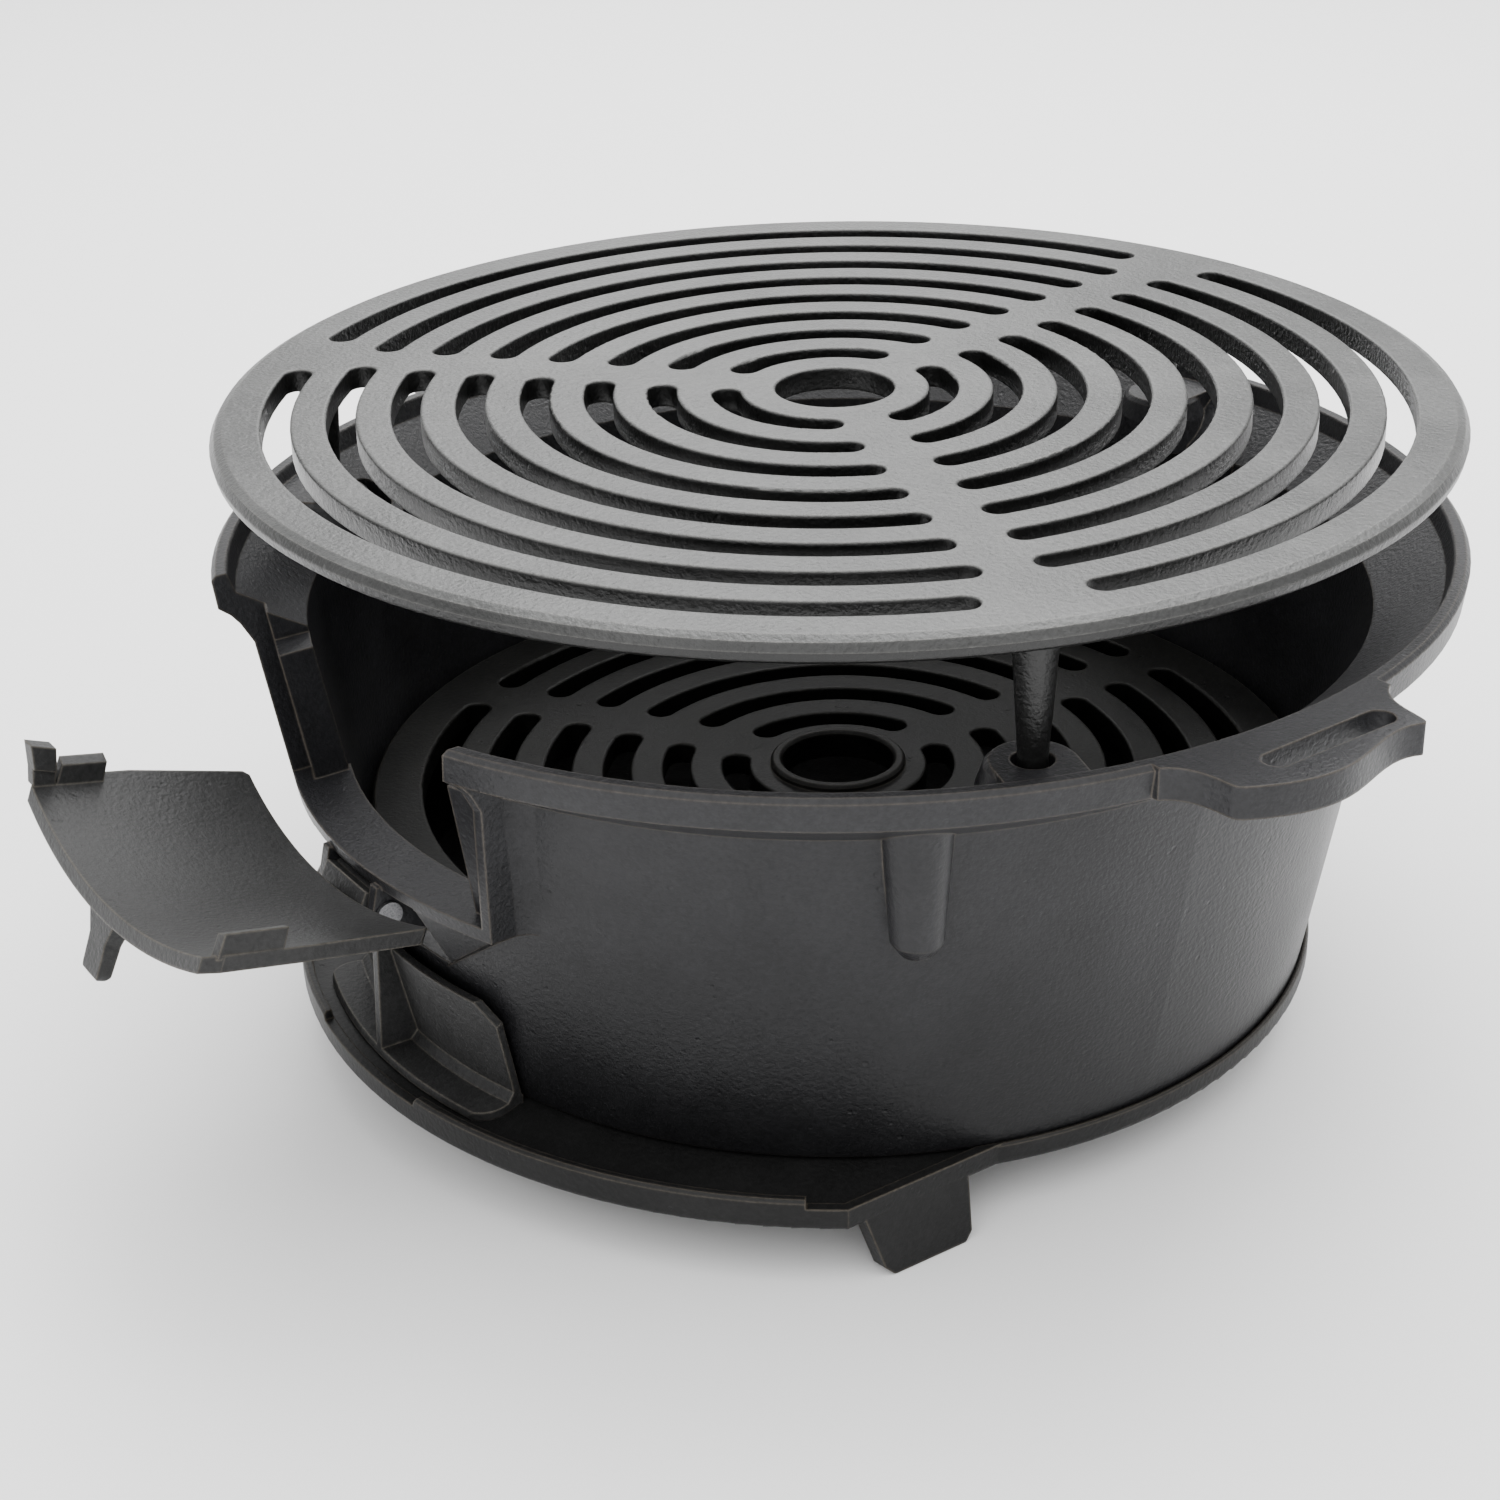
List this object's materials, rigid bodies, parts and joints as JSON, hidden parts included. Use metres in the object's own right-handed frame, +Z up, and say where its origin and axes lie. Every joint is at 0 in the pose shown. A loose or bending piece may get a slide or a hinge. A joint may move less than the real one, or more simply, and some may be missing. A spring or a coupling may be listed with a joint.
{
  "type": "hibachi grill",
  "caption": "Round cast-iron charcoal grill: pot with hinged fuel door, sliding draft damper, footed ash base and slotted grates on legs.",
  "frame": {"origin": "where the pot's axis meets the plane that the feet stand on", "axes": "+Z up; the fuel door looks along -Y; the handles are on +X and -X"},
  "size_m": [0.37, 0.3808, 0.172],
  "materials": {
    "pot_iron": "seasoned, satin, fine sand-cast grain",
    "grate_iron": "seasoned, satin, edges rubbed lighter",
    "pin_steel": "plain drawn wire"
  },
  "bodies": {
    "base": {"base_plate": "pot_iron"},
    "pot": {"fire_pot": "pot_iron", "door_hinge_pin": "pin_steel"},
    "door": {"fuel_door": "pot_iron"},
    "damper": {"draft_damper": "pot_iron"},
    "lower_grate": {"coal_grate": "grate_iron"},
    "cooking_grate": {"top_grate": "grate_iron"}
  },
  "joints": [
    {"name": "pot_lift", "type": "slide", "parent": "base", "child": "pot", "axis": [0, 0, 1], "range_m": [0, 0.06]},
    {"name": "door_hinge", "type": "hinge", "parent": "pot", "child": "door", "pos_m": [0, -0.146, 0.0717], "axis": [-1, 0, 0], "range_deg": [0, 67.8]},
    {"name": "damper_swing", "type": "hinge", "parent": "base", "child": "damper", "pos_m": [0, 0, 0.0205], "axis": [0, 0, 1], "range_deg": [-33, 33]},
    {"name": "coal_grate_lift", "type": "slide", "parent": "pot", "child": "lower_grate", "axis": [0, 0, 1], "range_m": [0, 0.09]},
    {"name": "top_grate_lift", "type": "slide", "parent": "pot", "child": "cooking_grate", "axis": [0, 0, 1], "range_m": [0, 0.06]}
  ]
}
